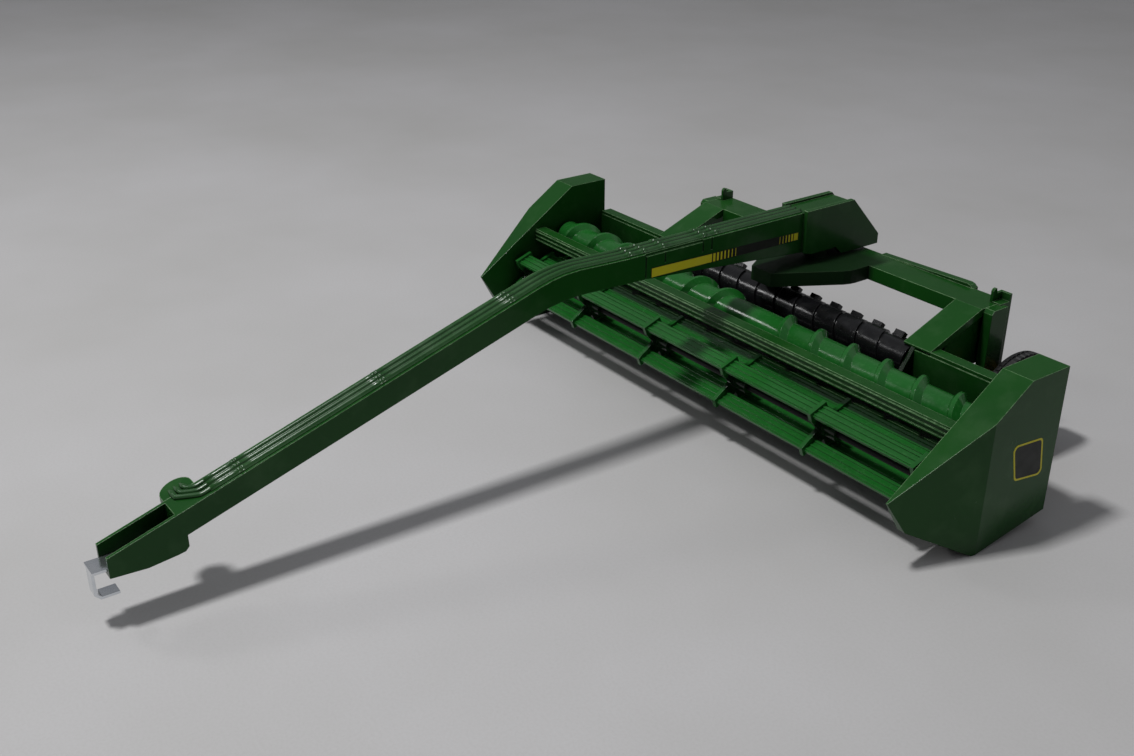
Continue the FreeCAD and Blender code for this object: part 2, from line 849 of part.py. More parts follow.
def roll_lug(number, centre_y, centre_z):
    """Small block that stands on the rubber, one on each turn of the band."""
    lean = math.radians(50)
    foot = d.roll_core_r - 0.5
    crest = d.roll_ridge_r + d.roll_lug_height
    half = d.roll_lug_depth * 0.5
    outline = []
    for reach, across in ((foot, -half), (crest, -half), (crest, half), (foot, half)):
        outline.append((centre_y + reach * math.cos(lean) - across * math.sin(lean),
                        centre_z + reach * math.sin(lean) + across * math.cos(lean)))
    middle = d.roll_lug_first + d.roll_ridge_pitch * number
    return padded(f"base_lug{number}", "X", outline, middle - d.roll_lug_width * 0.5, d.roll_lug_width)


def roll(label, centre_y, centre_z, left, lugs=False):
    core = turned(f"base_{label}", [(-d.roll_half, 0.0), (-d.roll_half, d.roll_core_r),
                                    (d.roll_half, d.roll_core_r), (d.roll_half, 0.0)],
                  centre_y, centre_z)
    turns = 10.8
    band = build_band(f"base_{label}_band", -d.roll_ridge_pitch * (turns * 0.5), 1, turns,
                      d.roll_ridge_pitch, d.roll_core_r, d.roll_ridge_r, d.roll_ridge_width,
                      d.roll_ridge_width - 0.8, (centre_y, centre_z), left, 211)
    parts = [core, band]
    if lugs:
        parts += [roll_lug(number, centre_y, centre_z) for number in range(11)]
    rubber = fuse(f"base_{label}_rubber", parts)
    shaft = journal_shaft(f"{label}_shaft", d.roll_half + 0.3, d.roll_shaft_r, centre_y, centre_z,
                          d.cheek_x, d.cheek_thick)
    keep(shaft)
    keep(cut(label, rubber, shaft))


# ---- wheels -------------------------------------------------------------------

def wheel(side, name):
    mid = d.wheel_inner_x + d.wheel_width * 0.5
    half = d.wheel_width * 0.5
    tread = d.wheel_r

    def place(outline):
        return [(side * (mid + x), r) for x, r in outline]

    tyre = [(-half, d.rim_r), (-half, tread - 4.0), (-half + 1.4, tread - 0.8), (-half + 3.0, tread),
            (half - 3.0, tread), (half - 1.4, tread - 0.8), (half, tread - 4.0), (half, d.rim_r)]
    keep(turned(f"tyre_{name}", place(tyre), d.wheel_y, d.wheel_r))
    bore = d.axle_r + d.axle_clear
    rim = [(-half, bore), (-half, 5.0), (-half + 4.0, 6.0), (-half + 4.0, d.rim_r - 2.0),
           (-half + 0.6, d.rim_r - 1.2), (-half + 0.6, d.rim_r), (half - 0.6, d.rim_r),
           (half - 0.6, d.rim_r - 1.2), (half - 5.0, d.rim_r - 2.4), (half - 5.0, 6.0),
           (half, 5.0), (half, bore)]
    keep(turned(f"wheel_rim_{name}", place(rim), d.wheel_y, d.wheel_r))
    inside = d.wheel_inner_x - 1.2
    outside = d.wheel_inner_x + d.wheel_width + 0.6
    axle = [(inside, 0.0), (inside, d.axle_r), (outside, d.axle_r), (outside, d.axle_cap_r),
            (outside + d.axle_cap - 0.4, d.axle_cap_r), (outside + d.axle_cap, d.axle_cap_r - 0.6),
            (outside + d.axle_cap, 0.0)]
    keep(turned(f"axle_{name}", [(side * x, r) for x, r in axle], d.wheel_y, d.wheel_r))


# ---- tongue -------------------------------------------------------------------

def arch_top(rise):
    """Top of the bend, from the sloping stretch over a slight crown to the level stretch."""
    points = [(d.bend_y, d.bend_top_z + rise)]
    for run, crown in ((6.0, -0.7), (12.0, 0.3), (19.0, 0.7), (31.0, 0.3), (42.0, 0.0)):
        points.append((d.bend_y + run, d.tongue_top_z + crown + rise))
    return points


def top_line():
    return [
        (d.tongue_tip_y, d.tongue_tip_top_z),
        (d.fork_root_y, d.fork_root_z),
        *arch_top(0.0),
        (d.tongue_rear_y, d.tongue_top_z),
    ]


def bottom_line():
    return [
        (d.tongue_tip_y, d.tongue_tip_low_z),
        (d.tongue_tip_y + 13.0, d.tongue_tip_low_z - 0.8),
        (d.fork_heel_y - 4.0, d.fork_heel_z - 1.0),
        (d.fork_heel_y - 1.4, d.fork_heel_z - 0.5),
        (d.fork_heel_y, d.fork_heel_z + 1.0),
        (d.fork_heel_y, d.fork_heel_z + 5.5),
        (d.bend_low_y, d.bend_low_z),
        (d.bend_low_y + 7.5, d.level_low_z - 0.6),
        (d.level_y, d.level_low_z),
        (d.level_y + 33.0, d.level_low_z - 0.9),
        (d.ear_front_y, d.tongue_rear_low_z),
        (d.pivot_y - 8.0, d.boss_top_z + d.pivot_gap),
        (d.tongue_rear_y, d.boss_top_z + d.pivot_gap),
    ]


def tongue_seams(body):
    """Fine grooves on the left side, and the top edge stepped down over two short panels."""
    floor = d.tongue_half - d.seam
    top = d.tongue_top_z + 1.0
    above_strip = d.tongue_top_z - d.seam_short
    for number, (middle, low) in enumerate((
            (d.panel_start_y, d.level_low_z - 8.0),
            (d.panel_split_y, above_strip),
            (d.panel_end_y, above_strip),
            (d.panel_end_y + 4.8, above_strip),
            (d.pivot_y + 5.0, d.level_low_z - 8.0)), start=1):
        groove = rect(middle - d.seam * 0.6, middle + d.seam * 0.6, low, top)
        add_pocket(body, f"seam_{number}", "X", groove, floor, 2.0)
    step = rect(d.panel_start_y, d.panel_end_y, d.tongue_top_z - d.seam * 2.2, top)
    add_pocket(body, "panel_step", "X", step, d.tongue_half - d.seam * 1.6, 2.0)


def tongue():
    body = new_body("base_tongue")
    width = d.tongue_half * 2.0
    add_pad(body, "tongue_slab", "X", top_line() + bottom_line()[::-1], -d.tongue_half, width)
    wall = d.tongue_wall
    hollow = [
        (d.fork_heel_y + 3.0, d.fork_heel_z - 4.0),
        (d.fork_heel_y + 3.0, d.fork_heel_z + 12.6),
        (d.bend_y, d.bend_top_z - wall * 1.2),
        (d.bend_y + 9.0, d.tongue_top_z - 0.5 - wall * 1.2),
        (d.bend_y + 19.0, d.tongue_top_z - wall),
        (d.ear_front_y - 4.0, d.tongue_top_z - wall),
        (d.ear_front_y - 4.0, d.tongue_rear_low_z - 8.0),
    ]
    inner = d.tongue_half - wall
    add_pocket(body, "tongue_hollow", "X", hollow, -inner, inner * 2.0)
    slot = [
        (d.tongue_tip_y - 1.0, d.tongue_tip_low_z + d.fork_floor),
        (d.fork_root_y, d.tongue_tip_low_z + d.fork_floor),
        (d.fork_root_y, d.fork_root_z + 6.0),
        (d.tongue_tip_y - 1.0, d.fork_root_z + 6.0),
    ]
    jaw = d.tongue_half - d.fork_wall
    add_pocket(body, "fork_slot", "X", slot, -jaw, jaw * 2.0)
    tongue_seams(body)
    ear = [
        (d.ear_front_y, d.tongue_rear_low_z),
        (d.ear_front_y + 5.0, d.tongue_rear_low_z - 1.2),
        (d.ear_front_y + 20.0, d.tongue_rear_low_z - 1.2),
        (d.ear_front_y + 24.0, d.ear_low_z),
        (d.ear_tail_y, d.ear_low_z),
        (d.ear_tail_y, d.ear_tail_z),
        (d.tongue_rear_y, d.ear_top_z),
        (d.ear_front_y, d.ear_top_z),
    ]
    parts = [body]
    for side, name in ((1, "left"), (-1, "right")):
        start, length = side_range(side, d.tongue_half - 0.2, d.ear_half)
        parts.append(padded("base_ear_" + name, "X", ear, start, length))
    return keep(fuse("tongue_beam", parts))


TONGUE_SLOPE = ((d.bend_top_z.value - d.fork_root_z.value)
                / (d.bend_y.value - d.fork_root_y.value))


def hose_line(rise):
    """Centre-line points on top of the tongue, raised by rise."""
    return [
        (d.fork_root_y + 13.7, d.fork_root_z + 13.7 * TONGUE_SLOPE + rise),
        *arch_top(rise),
        (d.ear_front_y, d.tongue_top_z + rise),
    ]


def hose_clip(body, name, middle):
    """Narrow strap over the three hoses; it follows the slope of the tongue."""
    lower = []
    for place in (middle - d.clip_width * 0.5, middle + d.clip_width * 0.5):
        if place.value < d.bend_y.value:
            lower.append((place, d.fork_root_z + (place - d.fork_root_y) * TONGUE_SLOPE))
        else:
            lower.append((place, d.tongue_top_z))
    foot = [(y, z + d.hose_base * 0.5) for y, z in lower]
    crest = [(y, z + d.hose_base + d.hose_rise + d.clip_rise) for y, z in lower]
    half = d.hose_pitch + d.hose_width * 0.62
    add_pad(body, name, "X", foot + crest[::-1], -half, half * 2.0)


def hoses():
    body = new_body("hose_mouldings")
    base = hose_line(size(0.0)) + hose_line(d.hose_base)[::-1]
    add_pad(body, "hose_base", "X", base, -d.hose_half, d.hose_half * 2.0)
    for number in (-1, 0, 1):
        for layer, (foot, crest, wide) in enumerate(((0.0, 0.55, 1.0), (0.55, 0.85, 0.76),
                                                     (0.85, 1.0, 0.46)), start=1):
            low = hose_line(d.hose_base + d.hose_rise * foot)
            high = hose_line(d.hose_base + d.hose_rise * crest)
            start = d.hose_pitch * number - d.hose_width * (wide * 0.5)
            add_pad(body, f"ridge{number + 2}_layer{layer}", "X", low + high[::-1], start,
                    d.hose_width * wide)
    middles = [d.clip_first_y + d.clip_pitch * number for number in range(4)]
    middles += [d.panel_start_y, d.panel_split_y, d.panel_end_y + 1.5, d.panel_end_y + 8.0]
    for number, middle in enumerate(middles, start=1):
        hose_clip(body, f"clip_{number}", middle)
    return keep(body)


def knob():
    """Round-ended tab beside the tongue, on which the hoses bend off; its top is flush."""
    outline = [(-d.tongue_half + 0.5, d.knob_y - d.knob_r)]
    for step in range(13):
        outline.append(arc_point(d.knob_x, d.knob_y, d.knob_r, 270 - 15 * step))
    outline.append((-d.tongue_half + 0.5, d.knob_y + d.knob_r))
    body = new_body("hose_knob")
    add_pad(body, "knob_pad", "Z", outline, d.knob_low_z, d.fork_root_z + 12.0 - d.knob_low_z)
    ends = []
    for reach in (-14.0, 22.0):
        ends.append((d.fork_root_y + reach, d.fork_root_z + TONGUE_SLOPE * reach))
    above = ends + [(end[0], d.fork_root_z + 20.0) for end in ends[::-1]]
    half = d.knob_r * 4.0
    add_pocket(body, "knob_top", "X", above, -half, half * 2.0)
    space = padded("base_tongue_space", "X", top_line() + bottom_line()[::-1],
                   -d.tongue_half, d.tongue_half * 2.0)
    return keep(cut("hose_bend", body, space))


def hook():
    t = d.hook_thick
    floor = d.tongue_tip_low_z + d.fork_floor
    front = d.hook_front_y
    plate = rect(front, d.fork_root_y - 6.0, floor, floor + t)
    body = new_body("hitch_hook")
    add_pad(body, "hook_plate", "X", plate, -d.hook_half, d.hook_half * 2.0)
    bend = [
        (front, floor + t),
        (front, d.hook_low_z + 2.0),
        (front + 2.0, d.hook_low_z),
        (front + 8.4, d.hook_low_z),
        (front + 8.4, d.hook_low_z + t),
        (front + 2.4, d.hook_low_z + t),
        (front + t, d.hook_low_z + 2.4),
        (front + t, floor + t),
    ]
    add_pad(body, "hook_tail", "X", bend, -d.hook_tail_half, d.hook_tail_half * 2.0)
    return keep(body)


def pivot_rivet():
    top = d.boss_top_z + d.pivot_gap
    low = (d.arm_top_z - d.arm_depth) - d.pivot_gap - d.rivet_head
    shank = doc.addObject("Part::Cylinder", "base_rivet_shank")
    shank.setExpression("Radius", d.rivet_r.text)
    shank.setExpression("Height", (top - low).text)
    head = doc.addObject("Part::Cylinder", "base_rivet_head")
    head.setExpression("Radius", d.rivet_head_r.text)
    head.setExpression("Height", d.rivet_head.text)
    for piece in (shank, head):
        piece.setExpression("Placement.Base.y", d.pivot_y.text)
        piece.setExpression("Placement.Base.z", low.text)
    return keep(fuse("pivot_rivet", [shank, head]))


# ---- assembly -----------------------------------------------------------------

def build():
    shield(1, "end_shield_left")
    shield(-1, "end_shield_right")
    cross_bar()
    feed_pan()
    cutterbar()
    rear_tube()
    for side, name in ((1, "left"), (-1, "right")):
        cheek(side, "roll_cheek_" + name)
        rear_beam(side, "rear_beam_" + name)
        back_wall(side, "back_wall_" + name)
    main_frame()
    for side, name in ((1, "left"), (-1, "right")):
        wheel_leg(side, "wheel_leg_" + name)
        wheel(side, name)
    reel()
    auger()
    roll("upper_roll", d.upper_roll_y, d.upper_roll_z, False, lugs=True)
    roll("lower_roll", d.lower_roll_y, d.lower_roll_z, True)
    tongue()
    hoses()
    knob()
    hook()
    pivot_rivet()


def write_out():
    doc.recompute()
    bad = [o.Name for o in doc.Objects if "Invalid" in o.State or "Error" in o.State]
    if bad:
        raise RuntimeError("objects in error: " + ", ".join(bad))
    os.makedirs("parts", exist_ok=True)
    for obj in NODES:
        shape = obj.Shape
        if shape.isNull() or not shape.isValid():
            raise RuntimeError("bad shape: " + obj.Label)
        if len(shape.Solids) != 1:
            raise RuntimeError(f"{obj.Label} has {len(shape.Solids)} solids")
        shape.exportStep(f"parts/{obj.Label}.step")


build()
write_out()
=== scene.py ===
"""Looks of the toy pull-type windrower: paint, rubber, zinc, printed strips and mouldings."""
import math

import bmesh
import bpy
from mathutils import Euler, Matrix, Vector


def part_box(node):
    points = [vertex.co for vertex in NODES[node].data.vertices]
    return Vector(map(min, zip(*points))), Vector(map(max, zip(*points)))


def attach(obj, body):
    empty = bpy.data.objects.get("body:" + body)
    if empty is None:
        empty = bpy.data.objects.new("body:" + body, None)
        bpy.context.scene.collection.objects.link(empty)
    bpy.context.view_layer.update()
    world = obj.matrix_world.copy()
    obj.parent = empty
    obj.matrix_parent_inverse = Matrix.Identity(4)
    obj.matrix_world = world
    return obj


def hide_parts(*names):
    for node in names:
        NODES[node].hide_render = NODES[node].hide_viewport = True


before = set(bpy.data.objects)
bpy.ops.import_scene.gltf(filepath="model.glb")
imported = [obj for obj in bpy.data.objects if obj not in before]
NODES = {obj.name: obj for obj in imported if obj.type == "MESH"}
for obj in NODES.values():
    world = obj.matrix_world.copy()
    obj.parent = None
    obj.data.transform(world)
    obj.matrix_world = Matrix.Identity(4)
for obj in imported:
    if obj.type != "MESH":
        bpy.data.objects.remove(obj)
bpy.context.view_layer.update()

MM = 0.001
REEL_Y, REEL_Z = 79.25, 26.9


# ---- node graphs ----------------------------------------------------------

class Graph:
    """A material under construction; each method adds one shader node and returns its output."""

    def __init__(self, name):
        self.material = bpy.data.materials.new(name)
        self.material.use_nodes = True
        self.tree = self.material.node_tree
        self.tree.nodes.clear()
        self.place = self.add("ShaderNodeTexCoord").outputs["Object"]

    def add(self, kind, **settings):
        node = self.tree.nodes.new(kind)
        for key, value in settings.items():
            setattr(node, key, value)
        return node

    def put(self, socket, value):
        if isinstance(value, bpy.types.NodeSocket):
            self.tree.links.new(value, socket)
        else:
            socket.default_value = value

    def math(self, operation, a, b=0.0, c=None, clamp=False):
        node = self.add("ShaderNodeMath", operation=operation, use_clamp=clamp)
        self.put(node.inputs[0], a)
        self.put(node.inputs[1], b)
        if c is not None:
            self.put(node.inputs[2], c)
        return node.outputs[0]

    def noise(self, scale, detail=2.0, rough=0.5, place=None, stretch=None):
        node = self.add("ShaderNodeTexNoise")
        node.inputs["Scale"].default_value = scale
        node.inputs["Detail"].default_value = detail
        node.inputs["Roughness"].default_value = rough
        source = place or self.place
        if stretch:
            warp = self.add("ShaderNodeVectorMath", operation="MULTIPLY")
            self.put(warp.inputs[0], source)
            warp.inputs[1].default_value = stretch
            source = warp.outputs[0]
        self.put(node.inputs["Vector"], source)
        return node.outputs["Fac"]

    def cells(self, scale, feature="F1"):
        node = self.add("ShaderNodeTexVoronoi", feature=feature)
        node.inputs["Scale"].default_value = scale
        self.put(node.inputs["Vector"], self.place)
        return node.outputs["Distance"]

    def ramp(self, value, low, high, out_low=0.0, out_high=1.0):
        node = self.add("ShaderNodeMapRange", clamp=True)
        self.put(node.inputs["Value"], value)
        for key, number in (("From Min", low), ("From Max", high),
                            ("To Min", out_low), ("To Max", out_high)):
            node.inputs[key].default_value = number
        return node.outputs["Result"]

    def mix(self, factor, a, b):
        node = self.add("ShaderNodeMix", data_type="RGBA")
        self.put(node.inputs[0], factor)
        self.put(node.inputs[6], a)
        self.put(node.inputs[7], b)
        return node.outputs[2]

    def rounded(self, radius):
        """Normal that rounds hard edges by this radius, and a mask of those edges."""
        bevel = self.add("ShaderNodeBevel", samples=5)
        bevel.inputs["Radius"].default_value = radius
        true = self.add("ShaderNodeNewGeometry").outputs["Normal"]
        dot = self.add("ShaderNodeVectorMath", operation="DOT_PRODUCT")
        self.put(dot.inputs[0], bevel.outputs[0])
        self.put(dot.inputs[1], true)
        return bevel.outputs[0], self.ramp(dot.outputs["Value"], 0.998, 0.92)

    def painted_corner_shade(self, reach, colour, painted_shade_tone):
        """Painted shade: colour that sinks toward a darker tone in corners and under overhangs
        closer than reach, using ambient occlusion.
        """
        node = self.add("ShaderNodeAmbientOcclusion", samples=6)
        node.inputs["Distance"].default_value = reach
        return self.mix(self.ramp(node.outputs["AO"], 0.18, 0.78), painted_shade_tone, colour)

    def upward_wear_and_highlight(self, normal):
        """Mask of surfaces that face up, where hands and lids rub a model most and where the
        overhead lamp catches edges; it places the pale edges, which are partly wear and partly a
        painted highlight.
        """
        parts = self.add("ShaderNodeSeparateXYZ")
        self.put(parts.inputs[0], normal)
        return self.ramp(parts.outputs[2], 0.05, 0.6)

    def bump(self, height, distance, strength=1.0, normal=None):
        node = self.add("ShaderNodeBump")
        node.inputs["Strength"].default_value = strength
        node.inputs["Distance"].default_value = distance
        self.put(node.inputs["Height"], height)
        if normal is not None:
            self.put(node.inputs["Normal"], normal)
        return node.outputs[0]

    def finish(self, colour, rough, normal, metal=0.0, coat=0.0, coat_rough=0.1, specular=0.4):
        shader = self.add("ShaderNodeBsdfPrincipled")
        self.put(shader.inputs["Base Color"], colour)
        self.put(shader.inputs["Roughness"], rough)
        self.put(shader.inputs["Metallic"], metal)
        self.put(shader.inputs["Normal"], normal)
        shader.inputs["Specular IOR Level"].default_value = specular
        shader.inputs["Coat Weight"].default_value = coat
        shader.inputs["Coat Roughness"].default_value = coat_rough
        end = self.add("ShaderNodeOutputMaterial")
        self.tree.links.new(shader.outputs[0], end.inputs[0])
        return self.material


def linear(red, green, blue):
    """A colour given as 0 to 255 screen values, as the linear values that shaders use."""
    out = []
    for value in (red, green, blue):
        value /= 255.0
        out.append(value / 12.92 if value <= 0.04045 else ((value + 0.055) / 1.055) ** 2.4)
    return (*out, 1.0)


# ---- finishes -------------------------------------------------------------

def glossy_paint(name, body, pale, dark, rough=0.20, edge=0.42, coat=0.05, shine=0.17,
                 painted_shadow_zone=None):
    """Sprayed gloss enamel on a casting: even tone, a slightly wavy skin, thin pale edges on
    up-facing faces that are partly paint pulled back and partly a painted highlight, painted shade
    in corners and under overhangs, an optional painted shadow patch, and a few dust specks."""
    g = Graph(name)
    normal, edges = g.rounded(edge * MM)
    drift = g.noise(22.0, 2.0, 0.5)
    colour = g.mix(g.ramp(drift, 0.38, 0.66, 0.0, 0.55), body, dark)
    cloud = g.noise(75.0, 3.0, 0.55)
    colour = g.mix(g.ramp(cloud, 0.50, 0.75, 0.0, 0.04), colour, pale)
    # Painted highlight and wear: thin pale lines on up-facing edges, partly rubbed paint and partly
    # a painted highlight where the overhead lamp would catch the edge.
    edge_wear_and_highlight = g.math("MULTIPLY", edges, g.ramp(g.noise(520.0, 3.0, 0.6), 0.36, 0.62, 0.35, 1.0))
    edge_wear_and_highlight = g.math("MULTIPLY", edge_wear_and_highlight, g.upward_wear_and_highlight(normal))
    colour = g.mix(g.math("MULTIPLY", edge_wear_and_highlight, 0.85), colour, pale)
    # Painted shade: corners and places under overhangs sink toward a much darker tone of the paint.
    painted_shade_tone = [0.22 * c for c in dark[:3]] + [1.0]
    colour = g.painted_corner_shade(26 * MM, colour, painted_shade_tone)
    # Painted shadow: within the given half-width of x = 0 and in front of the given rear y, the
    # colour is pulled toward the dark shade tone, standing in for the shadow the tongue casts on
    # the frame below it.
    if painted_shadow_zone:
        half, rear = painted_shadow_zone
        place = g.add("ShaderNodeSeparateXYZ")
        g.put(place.inputs[0], g.place)
        across = g.ramp(g.math("ABSOLUTE", place.outputs[0]), (half + 3) * MM, half * MM)
        along = g.ramp(place.outputs[1], rear * MM, (rear - 8) * MM)
        painted_shadow_mask = g.math("MULTIPLY", across, along)
        colour = g.mix(g.math("MULTIPLY", painted_shadow_mask, 0.85), colour, painted_shade_tone)
    dust = g.ramp(g.cells(900.0), 0.075, 0.03, 0.0, 0.35)
    dust = g.math("MULTIPLY", dust, g.ramp(g.noise(70.0), 0.60, 0.72))
    colour = g.mix(dust, colour, linear(168, 178, 160))
    gloss = g.ramp(g.noise(120.0, 3.0, 0.55), 0.3, 0.75, rough - 0.04, rough + 0.08)
    gloss = g.math("ADD", gloss, g.math("MULTIPLY", dust, 0.4))
    if painted_shadow_zone:
        gloss = g.math("ADD", gloss, g.math("MULTIPLY", painted_shadow_mask, 0.4))
    normal = g.bump(g.noise(210.0, 2.0, 0.5), 0.022 * MM, 0.55, normal)
    return g.finish(colour, gloss, normal, coat=coat, coat_rough=0.08, specular=shine)


def moulded(name, body, pale, dark, rough=0.42, edge=0.2, grain=0.012, painted_shade_core=None):
    """Injection moulded plastic: satin skin, faint flow marks, paler rubbed edges, painted shade in
    corners. An optional darker tone near the reel's shaft is painted shade for the spider arms."""
    g = Graph(name)
    normal, edges = g.rounded(edge * MM)
    flow = g.noise(60.0, 3.0, 0.6, stretch=(0.3, 1.0, 1.0))
    colour = g.mix(g.ramp(flow, 0.3, 0.7), dark, body)
    speck = g.ramp(g.noise(700.0, 2.0, 0.6), 0.55, 0.8, 0.0, 0.12)
    colour = g.mix(speck, colour, pale)
    colour = g.mix(g.math("MULTIPLY", edges, 0.35), colour, pale)
    # Painted shade: near the reel's shaft the colour turns to the given darker tone, standing in
    # for the shade the spider arms lie in.
    if painted_shade_core:
        offset = g.add("ShaderNodeVectorMath", operation="MULTIPLY_ADD")
        g.put(offset.inputs[0], g.place)
        offset.inputs[1].default_value = (0, 1, 1)
        offset.inputs[2].default_value = (0, -REEL_Y * MM, -REEL_Z * MM)
        span = g.add("ShaderNodeVectorMath", operation="LENGTH")
        g.put(span.inputs[0], offset.outputs[0])
        colour = g.mix(g.ramp(span.outputs["Value"], 7.2 * MM, 9.2 * MM), painted_shade_core, colour)
    # Painted shade: corners closer than 8 mm sink toward half the dark tone.
    colour = g.painted_corner_shade(8 * MM, colour, [0.5 * c for c in dark[:3]] + [1.0])
    gloss = g.ramp(g.noise(220.0, 3.0, 0.6), 0.3, 0.7, rough - 0.08, rough + 0.12)
    normal = g.bump(g.noise(260.0, 2.0, 0.5), grain * MM, 0.5, normal)
    return g.finish(colour, gloss, normal, coat=0.10, coat_rough=0.08, specular=0.32)


def rubber(name):
    """Black rubber: matt, greyed on its high edges, with a fine mould grain."""
    g = Graph(name)
    normal, edges = g.rounded(0.25 * MM)
    tone = g.noise(120.0, 4.0, 0.6)
    colour = g.mix(g.ramp(tone, 0.3, 0.7), linear(20, 20, 21), linear(34, 34, 35))
    rub = g.math("MULTIPLY", edges, g.ramp(g.noise(500.0, 3.0), 0.35, 0.65, 0.2, 1.0))
    colour = g.mix(g.math("MULTIPLY", rub, 0.45), colour, linear(82, 80, 78))
    dust = g.ramp(g.noise(2200.0, 3.0, 0.7), 0.58, 0.75, 0.0, 0.25)
    colour = g.mix(dust, colour, linear(96, 92, 86))
    gloss = g.ramp(g.noise(300.0, 3.0), 0.3, 0.7, 0.42, 0.62)
    normal = g.bump(g.noise(900.0, 2.0, 0.6), 0.012 * MM, 0.7, normal)
    return g.finish(colour, gloss, normal, specular=0.45)


def zinc_plate(name):
    """Bright zinc-plated pressed steel, with a brushed direction and dull cut edges."""
    g = Graph(name)
    normal, edges = g.rounded(0.12 * MM)
    brush = g.noise(500.0, 3.0, 0.6, stretch=(8.0, 1.0, 1.0))
    patch = g.noise(120.0, 3.0, 0.6)
    colour = g.mix(g.ramp(patch, 0.3, 0.7), linear(206, 212, 218), linear(228, 231, 234))
    colour = g.mix(g.math("MULTIPLY", edges, 0.4), colour, linear(170, 174, 178))
    gloss = g.ramp(brush, 0.3, 0.7, 0.13, 0.22)
    normal = g.bump(brush, 0.004 * MM, 0.5, normal)
    return g.finish(colour, gloss, normal, metal=0.95)


def printed(name, ink, faded, rough=0.38):
    """Printed film on the paint: even ink, very fine screen grain, slight fading."""
    g = Graph(name)
    normal, edges = g.rounded(0.05 * MM)
    fade = g.ramp(g.noise(90.0, 3.0), 0.4, 0.8, 0.0, 0.4)
    colour = g.mix(fade, ink, faded)
    grain = g.ramp(g.noise(4200.0, 2.0), 0.45, 0.75, 0.0, 0.25)
    colour = g.mix(grain, colour, faded)
    colour = g.mix(g.math("MULTIPLY", edges, 0.25), colour, faded)
    gloss = g.ramp(g.noise(260.0, 2.0), 0.3, 0.7, rough - 0.06, rough + 0.08)
    normal = g.bump(g.noise(1600.0, 2.0), 0.006 * MM, 0.6, normal)
    return g.finish(colour, gloss, normal, specular=0.22)


# Body, pale and dark tones; the pale tone also colours the painted edge highlights, the dark tone
# sets the painted shade.
GREEN = (linear(23, 72, 23), linear(156, 192, 146), linear(19, 62, 21))
LOOKS = {
    "green_paint": glossy_paint("green_enamel", *GREEN),
    "black_paint": glossy_paint("black_enamel", linear(16, 18, 18), linear(60, 62, 62),
                                linear(10, 11, 11), rough=0.36),
    "yellow_plastic": moulded("yellow_plastic_look", linear(214, 176, 24), linear(236, 208, 90),
                              linear(190, 150, 14)),
    "tyre_rubber": rubber("tyre_rubber_look"),
    "black_plastic": moulded("black_plastic_look", linear(17, 17, 19), linear(52, 52, 55),
                             linear(10, 10, 11), rough=0.22),
    "green_plastic": moulded("green_plastic_look", linear(27, 96, 34), linear(92, 154, 92),
                             linear(22, 82, 28), rough=0.19),
    "zinc": zinc_plate("zinc_plate_look"),
}
# Looks that carry painted shade. The main frame gets a painted shadow patch where the tongue
# overhangs it.
PAINTED_SHADE_LOOKS = {"main_frame": glossy_paint("frame_enamel_painted_shadow", *GREEN, painted_shadow_zone=(25.0, 172.0))}
# Reel spiders: painted shade near the reel shaft, where their arms lie in shade.
SPIDER_PAINTED_SHADE = moulded("spider_plastic_painted_shade_look", linear(25, 90, 31), linear(80, 138, 80), linear(20, 76, 26),
                 rough=0.19, painted_shade_core=linear(9, 30, 11))
# Roll cheeks: a darker painted-shade copy of the green paint, standing in for the shade they sit
# in.
for side in ("left", "right"):
    PAINTED_SHADE_LOOKS["roll_cheek_" + side] = glossy_paint("cheek_painted_shade_enamel_" + side, linear(11, 32, 12),
                                                linear(40, 70, 38), linear(8, 24, 9))
HOSE_ENAMEL = glossy_paint("hose_enamel", *GREEN, rough=0.27, shine=0.5)
for number in range(1, 7):
    PAINTED_SHADE_LOOKS[f"reel_spider_{number}"] = SPIDER_PAINTED_SHADE
YELLOW_INK = printed("yellow_ink", linear(206, 196, 30), linear(214, 206, 70))
BLACK_INK = printed("black_ink", linear(16, 20, 16), linear(44, 50, 42))


def dress_nodes():
    for node in NODES.values():
        for place in node.material_slots:
            found = [s for s in LOOKS if place.material and place.material.name.startswith(s)]
            if not found:
                raise RuntimeError(f"{node.name}: no look for {place.material}")
            place.material = PAINTED_SHADE_LOOKS.get(node.name, LOOKS[found[0]])


# ---- piece helpers --------------------------------------------------------

def make_piece(name, mesh, body, looks):
    """Turn a bmesh into a named object that rides on a CAD body."""
    bmesh.ops.recalc_face_normals(mesh, faces=mesh.faces)
    data = bpy.data.meshes.new(name)
    mesh.to_mesh(data)
    mesh.free()
    for look in looks:
        data.materials.append(look)
    piece = bpy.data.objects.new(name, data)
    bpy.context.scene.collection.objects.link(piece)
    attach(piece, body)
    return piece


